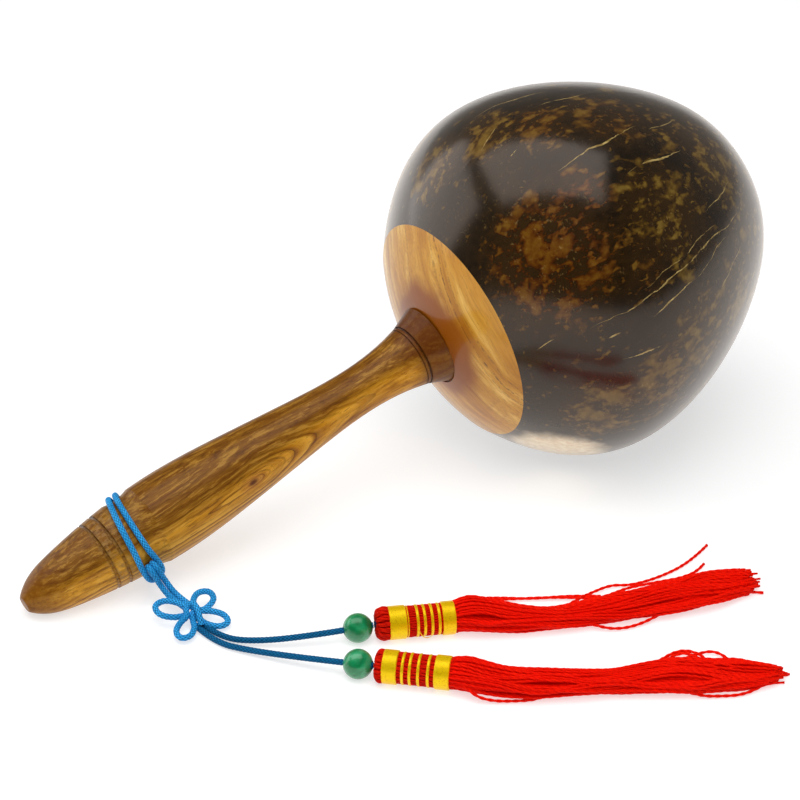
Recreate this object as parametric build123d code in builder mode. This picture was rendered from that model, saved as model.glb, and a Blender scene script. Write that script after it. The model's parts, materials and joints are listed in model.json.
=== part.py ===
from build123d import *
import math
import os

# One coconut-shell maraca lying on a table, with its knotted cord, beads and tassels.
# Millimetres and degrees. The table is z = 0, the handle's axis lies in the XZ plane, the
# shell is towards +X and the handle's free end towards -X.

# Shell: a turned and polished coconut, cut open where the wooden cap is glued in
shell_radius = 54.3
shell_wall = 3.5
shell_far_pole = 57.6
shell_widest = -3.8
mouth_offset = 43.6
mouth_radius = 33.3
shell_centre = Vector(62.25, 0, 55.7)
shell_tilt = 12.8

# Cap: a shallow wooden dome with a spigot inside the shell's mouth
cap_rise = 9.2
cap_spigot_radius = 27.6
cap_spigot_length = 5.5
cap_web = 4.5
cap_boss_radius = 12.0

# Handle: stations run along its axis from the free end
handle_tilt = 16.67
handle_reach = 145.0
collar_start = 131.0
collar_end = 137.0
collar_radius = 11.8
tenon_radius = 7.0
tenon_end = 153.0
hitch_station = 35.4
hitch_groove_floor = 10.6
hitch_groove_arc = 14.0

# Rattle seeds: loose rows of round seeds on the bottom of the shell
seed_radius = 3.0
seed_pitch = 6.9
seed_wall_gap = 1.2
seed_rows = {"front": (-18.0, 6), "middle": (-11.0, 7), "rear": (-4.0, 6)}

# Lanyard cord, flower knot, beads and tassels
cord_radius = 0.85
cord_clearance = 0.15
wrap_radius = hitch_groove_floor + cord_radius + cord_clearance
wrap_pitch = 3.0
stem_pitch = 1.9
last_run = 14.0
knot_centre_point = Vector(-83.0, -27.4, 3.3)
knot_turn = -34.0
knot_lean = 12.0
petals = {"left": (175, 10.6, 3.2), "top": (68, 9.0, 2.5), "right": (-18, 9.1, 2.6), "bottom": (-105, 9.2, 2.2)}
bead_radius = 4.0
bead_bore_radius = 1.2
bead_to_pivot = 4.3
tail_rise = 4.0
tassel_axis_height = 4.5
band_radius = 4.5
thin_band_radius = 4.35
core_radius = 4.1
bound_length = 21.6
front_band = (3.95, 4.4)
thin_band_start, thin_band_width, thin_band_pitch, thin_band_count = 9.2, 1.2, 2.15, 4
rear_band = (17.6, 3.95)
tassel_length = 105.5


def slope(tilt):
    """Unit vector in the XZ plane that climbs towards +X at this angle."""
    return Vector(math.cos(math.radians(tilt)), 0, math.sin(math.radians(tilt)))


def heading(turn, rise=0.0):
    """Unit vector that points this many degrees round from +X and climbs by rise degrees."""
    level = math.cos(math.radians(rise))
    turn_radians = math.radians(turn)
    return Vector(level * math.cos(turn_radians), level * math.sin(turn_radians), math.sin(math.radians(rise)))


# The two turning planes have X along the part's axis and Y as the radius, upwards
shell_plane = Plane(origin=shell_centre, x_dir=slope(shell_tilt), z_dir=(0, -1, 0))
shell_axis = Axis(shell_centre, slope(shell_tilt))
seat_centre = shell_centre - slope(shell_tilt) * mouth_offset
handle_end = seat_centre - slope(handle_tilt) * handle_reach
handle_plane = Plane(origin=handle_end, x_dir=slope(handle_tilt), z_dir=(0, -1, 0))
handle_axis = Axis(handle_end, slope(handle_tilt))

pieces = {}


def keep(piece, label):
    """Label a finished piece and remember it for writing."""
    piece.part.label = label
    pieces[label] = piece.part


# ---------------------------------------------------------------- shell, cap and handle


def shell_outline(inset, end_radius):
    """Points of the shell's meridian, from the far pole to the mouth, this far inside."""
    return [
        (shell_far_pole - inset, 0),
        (40.0 - 0.75 * inset, 35.6 - 0.66 * inset),
        (shell_widest, shell_radius - inset),
        (-mouth_offset, end_radius),
    ]


inner_mouth_radius = cap_spigot_radius + 0.1
with BuildPart() as coconut_shell:
    with BuildSketch(shell_plane):
        with BuildLine():
            outside = Spline(*shell_outline(0, mouth_radius), tangents=[(0, 1), (-0.80, -1)])
            inside = Spline(*shell_outline(shell_wall, inner_mouth_radius), tangents=[(0, 1), (-0.72, -1)])
            Line(outside @ 1, inside @ 1)
            Line(inside @ 0, outside @ 0)
        make_face()
    revolve(axis=shell_axis)
keep(coconut_shell, "coconut_shell")

with BuildPart() as end_cap:
    with BuildSketch(shell_plane):
        with BuildLine():
            dome_radius = (mouth_radius**2 + cap_rise**2) / (2 * cap_rise)
            dome = RadiusArc((-mouth_offset - cap_rise, 0), (-mouth_offset, mouth_radius), dome_radius)
            spigot_end = -mouth_offset + cap_spigot_length
            recess = -mouth_offset + cap_web - cap_spigot_length
            Polyline(
                dome @ 1,
                (-mouth_offset, cap_spigot_radius),
                (spigot_end, cap_spigot_radius),
                (spigot_end, cap_spigot_radius - 5),
                (recess, cap_spigot_radius - 7),
                (recess, cap_boss_radius + 2),
                (spigot_end, cap_boss_radius),
                (spigot_end, 0),
                dome @ 0,
            )
        make_face()
    revolve(axis=shell_axis)
    seat_plane = Plane(origin=handle_end + slope(handle_tilt) * collar_end, z_dir=slope(handle_tilt))
    with BuildSketch(seat_plane):
        Circle(tenon_radius)
    extrude(amount=40, mode=Mode.SUBTRACT)
    with BuildSketch(seat_plane):
        Circle(collar_radius + 0.2)
    extrude(amount=-20, mode=Mode.SUBTRACT)
keep(end_cap, "end_cap")

with BuildPart() as handle:
    with BuildSketch(handle_plane):
        with BuildLine():
            tip_facet = Line((0, 0), (0, 2.3))
            grip = Spline(
                tip_facet @ 1,
                (4.1, 5.45),
                (13.9, 8.35),
                (27.0, 10.4),
                (46.0, 11.65),
                (74.0, 9.8),
                (91.6, 8.0),
                (115.0, 6.8),
                (collar_start, 9.2),
            )
            collar = Line(grip @ 1, (collar_end, collar_radius))
            Polyline(collar @ 1, (collar_end, tenon_radius), (tenon_end, tenon_radius), (tenon_end, 0), (0, 0))
        make_face()
    revolve(axis=handle_axis)
    # Turned grooves: the seat of the hitch, two narrow rings below it and two at the collar
    with BuildSketch(handle_plane):
        with Locations((hitch_station, hitch_groove_floor + hitch_groove_arc)):
            Circle(hitch_groove_arc)
        for station, floor in ((24.0, 9.75), (27.6, 10.2), (129.9, 8.35), (collar_start, 8.75)):
            with Locations((station, floor)):
                Circle(0.55)
    revolve(axis=handle_axis, mode=Mode.SUBTRACT)
    fillet(handle.faces().sort_by(handle_axis)[0].edges(), radius=0.6)
    fillet(handle.faces().sort_by(handle_axis)[-1].edges(), radius=0.8)
keep(handle, "handle")

# ---------------------------------------------------------------- rattle seeds


for row_name, (row_offset, count) in seed_rows.items():
    row_reach = shell_radius - shell_wall - seed_wall_gap - seed_radius
    orbit = math.sqrt(row_reach**2 - (row_offset - shell_widest) ** 2)
    step = math.degrees(seed_pitch / orbit)
    row_plane = Plane(origin=shell_centre + slope(shell_tilt) * row_offset, x_dir=(0, 1, 0), z_dir=slope(shell_tilt))
    with BuildPart() as seed_row:
        with Locations(row_plane):
            with PolarLocations(orbit, count, start_angle=-90 - step * (count - 1) / 2, angular_range=step * count):
                Sphere(seed_radius)
    keep(seed_row, "rattle_seeds_" + row_name)

# ---------------------------------------------------------------- cord


def corner_radii(route):
    """Largest tangent arc for each corner: 0.45 of its shorter run."""
    radii = []
    for before, corner, after in zip(route, route[1:], route[2:]):
        turn = (corner - before).get_angle(after - corner)
        shorter = min((corner - before).length, (after - corner).length)
        radii.append(0.45 * shorter / math.tan(math.radians(turn / 2)))
    return radii


def cord_tube(label, points):
    """A stretch of cord: straight runs joined by tangent arcs, with its length and radii printed."""
    route = [Vector(*point) for point in points]
    radii = corner_radii(route)
    with BuildPart() as tube:
        with BuildLine() as path:
            FilletPolyline(*route, radius=radii)
        spine = path.wires()[0]
        with BuildSketch(Plane(origin=spine @ 0, z_dir=spine % 0)):
            Circle(cord_radius)
        sweep()
    volume_ratio = tube.part.volume / (math.pi * cord_radius**2 * spine.length)
    rounded = [round(radius, 1) for radius in radii]
    print(f"{label}: length {spine.length:.1f}, radii {rounded}, volume ratio {volume_ratio:.3f}")
    keep(tube, label)


def around_handle(station, angle, radius):
    """Point at this angle round the handle's axis: 0 is towards -Y and 90 is upwards."""
    across = math.cos(math.radians(angle)) * radius
    upward = math.sin(math.radians(angle)) * radius
    return handle_plane.from_local_coords(Vector(station, upward, across))


# The lark's head hitch: the cord goes twice round the handle in its groove
with BuildPart() as hitch_wraps:
    with BuildSketch(handle_plane):
        with GridLocations(wrap_pitch, 1, 2, 1):
            with Locations((hitch_station, wrap_radius)):
                Circle(cord_radius)
    revolve(axis=handle_axis)
keep(hitch_wraps, "hitch_wraps")

cord_tube(
    "hitch_bight",
    [
        around_handle(hitch_station - 2.1, -24, wrap_radius + 0.2),
        around_handle(hitch_station - 2.1, -45, wrap_radius + 1.9),
        around_handle(hitch_station + 2.1, -45, wrap_radius + 1.9),
        around_handle(hitch_station + 2.1, -24, wrap_radius + 0.2),
    ],
)

for side, shift in (("left", -stem_pitch / 2), ("right", stem_pitch / 2)):
    cord_tube(
        "stem_strand_" + side,
        [
            (-83.9 + shift, -8.4, 5.0),
            (-84.4 + shift, -16.5, 4.2),
            (-83.0 + shift, -24.3, 4.0),
        ],
    )

# ---------------------------------------------------------------- flower knot


knot_plane = Plane(origin=knot_centre_point).rotated((0, 0, knot_turn)).rotated((knot_lean, 0, 0))

with BuildPart() as knot_centre:
    with BuildSketch(knot_plane.offset(-1.9)):
        RectangleRounded(7.2, 7.2, 2.0)
    extrude(amount=3.8)
    fillet(knot_centre.faces().filter_by(GeomType.PLANE).group_by(SortBy.AREA)[-1].edges(), radius=1.2)
keep(knot_centre, "knot_centre")

for petal_name, (petal_angle, reach, half_width) in petals.items():
    petal_plane = knot_plane.rotated((0, 0, petal_angle))
    loop = [
        (1.9, 0.9, 0),
        (0.45 * reach, half_width, 0),
        (reach, 0.8 * half_width, 0),
        (reach, -0.8 * half_width, 0),
        (0.45 * reach, -half_width, 0),
        (1.9, -0.9, 0),
    ]
    cord_tube("knot_petal_" + petal_name, [petal_plane.from_local_coords(Vector(*point)) for point in loop])

# ---------------------------------------------------------------- tails, beads and tassels


def tassel_frame(pivot, turn):
    """Turning plane of a tassel that lies on the table: X along it from the pivot, Y upwards."""
    origin = Vector(pivot.X, pivot.Y, tassel_axis_height)
    return Plane(origin=origin, x_dir=heading(turn), z_dir=heading(turn - 90))


def ring_band(frame, axis, bands, radius):
    """Wound thread bands: round-edged rings over the tassel's core."""
    with BuildPart() as band:
        with BuildSketch(frame):
            for start, width in bands:
                with Locations((start + width / 2, (core_radius + radius) / 2)):
                    Rectangle(width, radius - core_radius)
        revolve(axis=axis)
    return band


def make_tassel(name, pivot, turn, sections):
    """Knob, stopper knot, bound core, wound bands and skirt of one tassel."""
    frame = tassel_frame(pivot, turn)
    axis = Axis(frame.origin, frame.x_dir)

    with BuildPart() as knob:
        with BuildSketch(frame):
            with BuildLine():
                front = Line((0.4, 1.0), (0.4, 1.8))
                crown = Spline(front @ 1, (1.3, 3.3), (3.6, 4.1), tangents=[(0.2, 1), (1, 0)])
                rear = Line(crown @ 1, (5.0, 4.1))
                Polyline(rear @ 1, (5.0, 2.3), (1.7, 2.3), (1.7, 1.0), front @ 0)
            make_face()
        revolve(axis=axis)
    keep(knob, f"tassel_knob_{name}")

    with BuildPart() as stopper:
        with Locations(frame):
            with Locations((3.3, 0, 0)):
                Sphere(1.55)
        with BuildSketch(Plane(origin=frame.origin + frame.x_dir * 0.15, z_dir=frame.x_dir)):
            Circle(cord_radius)
        extrude(amount=2.5)
    keep(stopper, f"stopper_knot_{name}")

    with BuildPart() as core:
        with BuildSketch(Plane(origin=frame.origin + frame.x_dir * 5.0, z_dir=frame.x_dir)):
            Circle(core_radius)
        extrude(amount=bound_length - 5.0)
    keep(core, f"tassel_core_{name}")

    thin_bands = [(thin_band_start + thin_band_pitch * index, thin_band_width) for index in range(thin_band_count)]
    keep(ring_band(frame, axis, [front_band], band_radius), f"front_band_{name}")
    keep(ring_band(frame, axis, thin_bands, thin_band_radius), f"thin_bands_{name}")
    keep(ring_band(frame, axis, [rear_band], band_radius), f"rear_band_{name}")

    with BuildPart() as skirt:
        for station, sideways, height, half_width, half_height in sections:
            along = frame.origin + frame.x_dir * station + heading(turn + 90) * sideways
            centre = Vector(along.X, along.Y, height)
            with BuildSketch(Plane(origin=centre, x_dir=heading(turn - 90), z_dir=frame.x_dir)):
                Ellipse(half_width, half_height)
        loft()
    keep(skirt, f"tassel_skirt_{name}")


def make_bead(name, centre, direction):
    """A round bead on the cord."""
    with BuildPart() as bead:
        with Locations(centre):
            Sphere(bead_radius)
        with BuildSketch(Plane(origin=centre, z_dir=direction)):
            Circle(bead_bore_radius)
        extrude(amount=bead_radius + 1, both=True, mode=Mode.SUBTRACT)
    keep(bead, f"bead_{name}")


# name: bead centre, tail's turn, tassel's turn, route before its last run, skirt sections
# A section is station, sideways, height, half width, half height
strings = {
    "upper": (
        Vector(-50.8, -58.5, bead_radius),
        -22.0,
        -24.8,
        [(-82.0, -29.3, 1.3), (-81.5, -38.0, 1.0), (-74.5, -46.6, 1.9)],
        [
            (bound_length, 0, 4.5, 4.1, 4.1),
            (30, -0.6, 4.4, 6.0, 4.2),
            (39, -2.4, 3.7, 4.7, 3.6),
            (49, -2.8, 3.0, 3.7, 2.9),
            (61, -1.1, 3.1, 4.9, 3.0),
            (82, 2.8, 2.9, 7.2, 2.8),
            (95, 5.8, 2.6, 7.6, 2.5),
            (tassel_length, 8.4, 2.1, 5.8, 2.0),
        ],
    ),
    "lower": (
        Vector(-59.9, -72.5, bead_radius),
        -50.0,
        -44.5,
        [(-83.9, -29.8, 1.3), (-83.6, -39.0, 0.95), (-78.2, -48.5, 1.5)],
        [
            (bound_length, 0, 4.5, 4.1, 4.1),
            (31, -1.1, 4.0, 4.9, 3.8),
            (39, -0.1, 3.6, 6.0, 3.5),
            (49, 2.3, 3.3, 5.1, 3.2),
            (61, 6.0, 3.1, 4.8, 3.0),
            (74, 11.2, 3.0, 6.9, 2.9),
            (86, 14.0, 2.9, 8.0, 2.8),
            (96, 15.6, 2.6, 6.8, 2.5),
            (tassel_length, 19.0, 2.0, 3.4, 1.9),
        ],
    ),
}

for string_name, (bead_centre, tail_turn, tassel_turn, route_start, skirt_sections) in strings.items():
    tail_direction = heading(tail_turn, tail_rise)
    pivot = bead_centre + tail_direction * bead_to_pivot
    last_run_start = pivot - tail_direction * last_run
    tail_end = pivot - tail_direction * 0.15
    cord_tube("tail_" + string_name, [*route_start, last_run_start, tail_end])
    make_bead(string_name, bead_centre, tail_direction)
    make_tassel(string_name, pivot, tassel_turn, skirt_sections)
    print(f"{string_name}: pivot {pivot}, tail direction {tail_direction}")

# ---------------------------------------------------------------- write every piece


os.makedirs("parts", exist_ok=True)
for label, part in pieces.items():
    export_step(part, f"parts/{label}.step")

shell_box = coconut_shell.part.bounding_box()
handle_box = handle.part.bounding_box()
print(f"maraca from x {handle_box.min.X:.2f} to {shell_box.max.X:.2f}")
print(f"lowest point of the shell {shell_box.min.Z:.2f} and of the handle {handle_box.min.Z:.2f}")
print(f"lowest point of all {min(part.bounding_box().min.Z for part in pieces.values()):.2f}")
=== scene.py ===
import bpy
import json
import math
import random
import numpy as np
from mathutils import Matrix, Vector


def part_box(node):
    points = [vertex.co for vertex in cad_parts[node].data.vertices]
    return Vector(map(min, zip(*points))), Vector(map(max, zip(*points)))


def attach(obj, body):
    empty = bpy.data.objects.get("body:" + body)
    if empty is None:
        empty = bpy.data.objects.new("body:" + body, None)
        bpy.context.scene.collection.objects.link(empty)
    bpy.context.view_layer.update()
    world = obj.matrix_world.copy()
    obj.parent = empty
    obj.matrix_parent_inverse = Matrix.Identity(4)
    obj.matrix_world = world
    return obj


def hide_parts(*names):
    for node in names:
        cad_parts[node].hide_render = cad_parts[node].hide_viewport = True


# A coconut-shell maraca with its blue lanyard, two green beads and two red tassels.
# Metres, in the row frame. The floor is z = 0 and the handle's axis lies in the XZ plane.

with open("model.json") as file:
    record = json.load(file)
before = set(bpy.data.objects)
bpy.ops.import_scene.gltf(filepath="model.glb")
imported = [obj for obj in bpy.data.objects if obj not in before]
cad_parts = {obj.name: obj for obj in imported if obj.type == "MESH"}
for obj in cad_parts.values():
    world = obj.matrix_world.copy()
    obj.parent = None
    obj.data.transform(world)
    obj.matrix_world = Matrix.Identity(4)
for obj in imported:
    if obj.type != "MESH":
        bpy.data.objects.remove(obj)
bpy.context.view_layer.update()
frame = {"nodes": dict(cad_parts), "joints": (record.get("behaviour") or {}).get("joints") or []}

MM = 0.001
joints = {joint["name"]: joint for joint in frame["joints"]}


def joint_place(name):
    """The point and the direction of a joint's axis."""
    return Vector(joints[name].get("pos_m", (0, 0, 0))), Vector(joints[name]["axis"]).normalized()


shell_centre, shell_axis = joint_place("seeds_middle_swirl")
hitch_centre, handle_axis = joint_place("lanyard_turn")
HITCH_STATION = 35.4 * MM
handle_end = hitch_centre - handle_axis * HITCH_STATION
handle_up = Vector((-handle_axis.z, 0, handle_axis.x))


def middle(node):
    """The middle of a CAD node's box."""
    low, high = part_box(node)
    return (low + high) / 2


# ------------------------------ lines and meshes


def spline_line(points):
    """Points along the NURBS spline that has these control points."""
    curve = bpy.data.curves.new("route", "CURVE")
    curve.dimensions = "3D"
    curve.resolution_u = 16
    spline = curve.splines.new("NURBS")
    spline.points.add(len(points) - 1)
    for control, place in zip(spline.points, points):
        control.co = (*place, 1)
    spline.order_u = 3
    spline.use_endpoint_u = True
    holder = bpy.data.objects.new("route", curve)
    bpy.context.scene.collection.objects.link(holder)
    mesh = bpy.data.meshes.new_from_object(holder)
    line = np.array([vertex.co[:] for vertex in mesh.vertices])
    bpy.data.meshes.remove(mesh)
    bpy.data.objects.remove(holder)
    bpy.data.curves.remove(curve)
    return line


def reach_along(line):
    """How far each point of a line is along it."""
    runs = np.linalg.norm(np.diff(line, axis=0), axis=1)
    return np.concatenate([[0], np.cumsum(runs)])


def spaced(line, step):
    """The same line with its points evenly spaced."""
    reach = reach_along(line)
    count = max(2, round(reach[-1] / step) + 1)
    wanted = np.linspace(0, reach[-1], count)
    return np.stack([np.interp(wanted, reach, line[:, axis]) for axis in range(3)], axis=1)


def side_directions(line):
    """Two directions square to a line at each point, which twist as little as they can."""
    ahead = np.gradient(line, axis=0)
    ahead /= np.linalg.norm(ahead, axis=1, keepdims=True)
    first = np.cross(ahead[0], (0, 0, 1) if abs(ahead[0][2]) < 0.9 else (1, 0, 0))
    across = [first / np.linalg.norm(first)]
    for direction in ahead[1:]:
        turned = across[-1] - direction * np.dot(across[-1], direction)
        across.append(turned / np.linalg.norm(turned))
    across = np.array(across)
    return across, np.cross(ahead, across)


def tube_grid(line, radii, around):
    """A grid of points round a line. radii is a number, or one for each ring and each side."""
    across, upward = side_directions(line)
    angle = np.arange(around) * math.tau / around
    cosine, sine = np.cos(angle)[None, :, None], np.sin(angle)[None, :, None]
    ring = cosine * across[:, None] + sine * upward[:, None]
    return line[:, None] + ring * np.broadcast_to(radii, (len(line), around))[..., None]


def object_from_tubes(name, tubes):
    """One mesh object from closed tubes, each a grid of points and a relief.

    The relief is 0 in the hollows of the surface and 1 on its crests.
    """
    points, faces, values = [], [], []
    start = 0
    for grid, relief in tubes:
        rings, around, _ = grid.shape
        points.append(grid.reshape(-1, 3))
        corner = np.arange(rings * around).reshape(rings, around)
        beside = np.roll(corner, -1, axis=1)
        quads = np.stack([corner[:-1], beside[:-1], beside[1:], corner[1:]], axis=-1)
        faces += (quads.reshape(-1, 4) + start).tolist()
        faces.append((corner[0][::-1] + start).tolist())
        faces.append((corner[-1] + start).tolist())
        values.append(np.broadcast_to(relief, (rings, around)).ravel())
        start += rings * around
    mesh = bpy.data.meshes.new(name)
    mesh.from_pydata(np.concatenate(points).tolist(), [], faces)
    relief_layer = mesh.attributes.new("relief", "FLOAT", "POINT")
    relief_layer.data.foreach_set("value", np.concatenate(values).astype(np.float32))
    mesh.shade_smooth()
    piece = bpy.data.objects.new(name, mesh)
    bpy.context.scene.collection.objects.link(piece)
    return piece


def finish_piece(piece, material, body, slot, *nodes):
    """Gives a piece its material and its body, and hides the CAD nodes that it stands for. Its slot
    is not used.
    """
    piece.data.materials.append(material)
    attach(piece, body)
    if nodes:
        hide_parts(*nodes)
    return piece


# ------------------------------ material nodes


class Number:
    """A number that comes out of a node. Arithmetic on it makes Math nodes."""

    def __init__(self, nodes, socket):
        self.nodes = nodes
        self.socket = socket

    def __add__(self, other):
        return self.nodes.math("ADD", self, other)

    def __sub__(self, other):
        return self.nodes.math("SUBTRACT", self, other)

    def __mul__(self, other):
        return self.nodes.math("MULTIPLY", self, other)

    def __truediv__(self, other):
        return self.nodes.math("DIVIDE", self, other)

    def __pow__(self, other):
        return self.nodes.math("POWER", self, other)

    def __abs__(self):
        return self.nodes.math("ABSOLUTE", self)

    __radd__ = __add__
    __rmul__ = __mul__


class Nodes:
    """A node tree, with short calls for the nodes that the materials and the world share."""

    def __init__(self, tree):
        self.tree = tree

    def node(self, kind, **settings):
        made = self.tree.nodes.new("ShaderNode" + kind)
        for key, value in settings.items():
            setattr(made, key, value)
        return made

    def put(self, socket, value):
        """Links a node's output to a socket, or sets the socket to a plain value."""
        if isinstance(value, Number):
            value = value.socket
        if isinstance(value, bpy.types.NodeSocket):
            self.tree.links.new(value, socket)
        else:
            socket.default_value = value

    def math(self, operation, *values, clamp=False):
        made = self.node("Math", operation=operation, use_clamp=clamp)
        for socket, value in zip(made.inputs, values):
            self.put(socket, value)
        return Number(self, made.outputs[0])

    def hypotenuse(self, first, second):
        return self.math("SQRT", first**2.0 + second**2.0)

    def vector(self, operation, *values):
        made = self.node("VectorMath", operation=operation)
        second = made.inputs["Scale"] if operation == "SCALE" else made.inputs[1]
        for socket, value in zip((made.inputs[0], second), values):
            self.put(socket, value)
        if operation == "DOT_PRODUCT":
            return Number(self, made.outputs["Value"])
        return made.outputs["Vector"]

    def split(self, vector):
        made = self.node("SeparateXYZ")
        self.put(made.inputs[0], vector)
        return [Number(self, output) for output in made.outputs]

    def join(self, *parts):
        made = self.node("CombineXYZ")
        for socket, value in zip(made.inputs, parts):
            self.put(socket, value)
        return made.outputs[0]

    def stretched(self, parts, scales):
        """The vector of three numbers, each times its scale."""
        return self.join(*(part * scale for part, scale in zip(parts, scales)))

    def mix(self, factor, first, second):
        made = self.node("Mix", data_type="RGBA")
        self.put(made.inputs[0], factor)
        for socket, value in zip((made.inputs[6], made.inputs[7]), (first, second)):
            self.put(socket, (*value, 1) if isinstance(value, tuple) else value)
        return made.outputs[2]

    def spread(self, value, low, high, to_low=0.0, to_high=1.0):
        """Runs smoothly from to_low to to_high as value goes from low to high."""
        made = self.node("MapRange", interpolation_type="SMOOTHSTEP")
        for socket, given in zip(made.inputs, (value, low, high, to_low, to_high)):
            self.put(socket, given)
        return Number(self, made.outputs[0])


class Shader(Nodes):
    """A material with one Principled shader."""

    def __init__(self, name):
        self.material = bpy.data.materials.new(name)
        self.material.use_nodes = True
        super().__init__(self.material.node_tree)
        self.surface = self.tree.nodes["Principled BSDF"]
        self.colour = None

    def local(self, origin=(0, 0, 0), rise=0.0):
        """Millimetres in a frame at this origin, with X turned up by rise about Y."""
        coordinates = self.node("TexCoord")
        mapping = self.node("Mapping", vector_type="TEXTURE")
        mapping.inputs["Location"].default_value = origin
        mapping.inputs["Rotation"].default_value = (0, -rise, 0)
        mapping.inputs["Scale"].default_value = (MM, MM, MM)
        self.put(mapping.inputs["Vector"], coordinates.outputs["Object"])
        return mapping.outputs[0]

    def noise(self, vector, scale, detail=2.0, roughness=0.5, distortion=0.0):
        """Fractal noise from about 0 to 1, with features of about 1 / scale millimetres."""
        made = self.node("TexNoise")
        sockets = ("Vector", "Scale", "Detail", "Roughness", "Distortion")
        for key, value in zip(sockets, (vector, scale, detail, roughness, distortion)):
            self.put(made.inputs[key], value)
        return Number(self, made.outputs["Fac"])

    def warp(self, vector, scale, reach):
        """Moves a vector about by up to about this reach, with noise of this scale."""
        made = self.node("TexNoise")
        for key, value in (("Vector", vector), ("Scale", scale), ("Detail", 3.0)):
            self.put(made.inputs[key], value)
        offset = self.vector("SUBTRACT", made.outputs["Color"], (0.5, 0.5, 0.5))
        return self.vector("ADD", vector, self.vector("SCALE", offset, 2 * reach))

    def ramp(self, value, *stops):
        made = self.node("ValToRGB")
        self.put(made.inputs[0], value)
        elements = made.color_ramp.elements
        while len(elements) < len(stops):
            elements.new(0.5)
        for element, (place, colour) in zip(elements, stops):
            element.position = place
            element.color = (*colour, 1)
        return made.outputs[0]

    def bump(self, height, strength, distance):
        made = self.node("Bump")
        for key, value in (("Height", height), ("Strength", strength), ("Distance", distance)):
            self.put(made.inputs[key], value)
        self.put(self.surface.inputs["Normal"], made.outputs[0])

    def layer(self, share, colour):
        """Puts a colour over the surface's own, by this share."""
        self.colour = self.mix(share, self.colour, colour)

    def finish(self, **sockets):
        """Sets the shader's own colour and its other sockets, named with _ for a space."""
        self.put(self.surface.inputs["Base Color"], self.colour)
        for key, value in sockets.items():
            socket = key.replace("_", " ").title().replace("Ior", "IOR")
            self.put(self.surface.inputs[socket], value)
        return self.material


def fibre_material(
    name, crest, shaded_hollow, tint, roughness, specular=0.2, painted_glow=0.0, metallic=0.0, seam=0.1
):
    """Thread or cord, with painted shade in the hollows of its lay. Its glow is painted light: an
    emission that stands for light through it.
    """
    shader = Shader(name)
    place = shader.local()
    relief = shader.node("Attribute", attribute_name="relief").outputs["Fac"]
    # Painted shade: the hollows of the lay take the darker hollow colour
    lay = shader.mix(shader.spread(relief, seam, 0.95), shaded_hollow, crest)
    slow = shader.spread(shader.noise(place, 0.15, 3), 0.35, 0.65)
    fine = shader.noise(place, 2.6, 2)
    shader.colour = shader.mix(slow * 0.5, lay, tint)
    shader.layer(shader.spread(fine, 0.50, 0.72, 0.0, 0.45), shaded_hollow)
    shader.bump(fine, 0.25, 0.00008)
    # Painted light: the glow is emission of the surface's own colour, which lifts its shade
    return shader.finish(
        roughness=roughness, specular_ior_level=specular, emission_color=shader.colour,
        emission_strength=painted_glow, metallic=metallic,
    )


# ------------------------------ coconut shell

# Latitude, longitude, reach in degrees, strength, redness
MOTTLED_PATCHES = [
    (-30, 43, 19, 1.0, 1.0), (-14, 54, 9, 0.8, 1.0), (-34, 106, 9, 1.2, 0.2),
    (-20, 93, 9, 1.1, 0.3), (-7, 82, 9, 0.9, 0.6), (12, 75, 12, 0.8, 0.5),
    (36, 62, 13, 0.6, 0.2), (7, 38, 15, 0.9, 0.1), (-9, 27, 9, 0.7, 0.5), (43, 42, 13, 0.9, 0.0),
    (42, 12, 12, 0.8, 0.0), (-29, -18, 11, 1.3, 0.2), (-12, -12, 12, 1.3, 0.3),
    (7, -4, 12, 1.1, 0.1), (26, -4, 12, 0.9, 0.0), (45, -18, 16, 1.0, 0.0),
    (-20, 150, 22, 1.0, 0.4), (25, 120, 20, 0.9, 0.1), (10, 200, 26, 1.0, 0.3),
    (-5, 260, 24, 1.0, 0.2), (30, 300, 20, 1.0, 0.1), (75, 60, 22, 0.9, 0.0),
]
# Longitude at the middle, its change from end to end, first and last latitude in degrees,
# half width in millimetres
PALE_FIBRES = [
    (101.0, -6.0, -17, 8, 0.20), (89.5, -2.0, -4, 16, 0.20), (65.8, 5.0, -15, 20, 0.30),
    (67.5, 3.0, 22, 40, 0.20), (54.0, 2.0, 2, 30, 0.22), (20.5, 6.0, -31, 46, 0.24),
    (23.5, 5.0, -14, 30, 0.14), (14.2, 1.5, -11, 7, 0.30), (4.0, -0.5, -23, -10, 0.26),
    (15.0, 2.5, -46, -39, 0.18), (12.7, 1.0, -25, -21, 0.24), (8.0, 9.0, 12, 36, 0.18),
    (17.0, 5.0, 5, 30, 0.12), (90.5, 3.0, -25, -15, 0.20), (78.7, 0.5, -21, -18, 0.22),
    (33.0, 4.0, 22, 44, 0.15), (150.0, -6.0, -20, 25, 0.24), (205.0, 5.0, -30, 10, 0.26),
    (248.0, -4.0, 0, 40, 0.22), (300.0, 6.0, -25, 30, 0.24), (-30.0, 4.0, -10, 35, 0.20),
]


def from_shell_centre(latitude, longitude):
    """A direction. Latitude is from the cap's end to the far pole, in degrees like longitude."""
    lat, lon = math.radians(latitude), math.radians(longitude)
    return math.sin(lat), -math.cos(lat) * math.cos(lon), math.cos(lat) * math.sin(lon)


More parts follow.
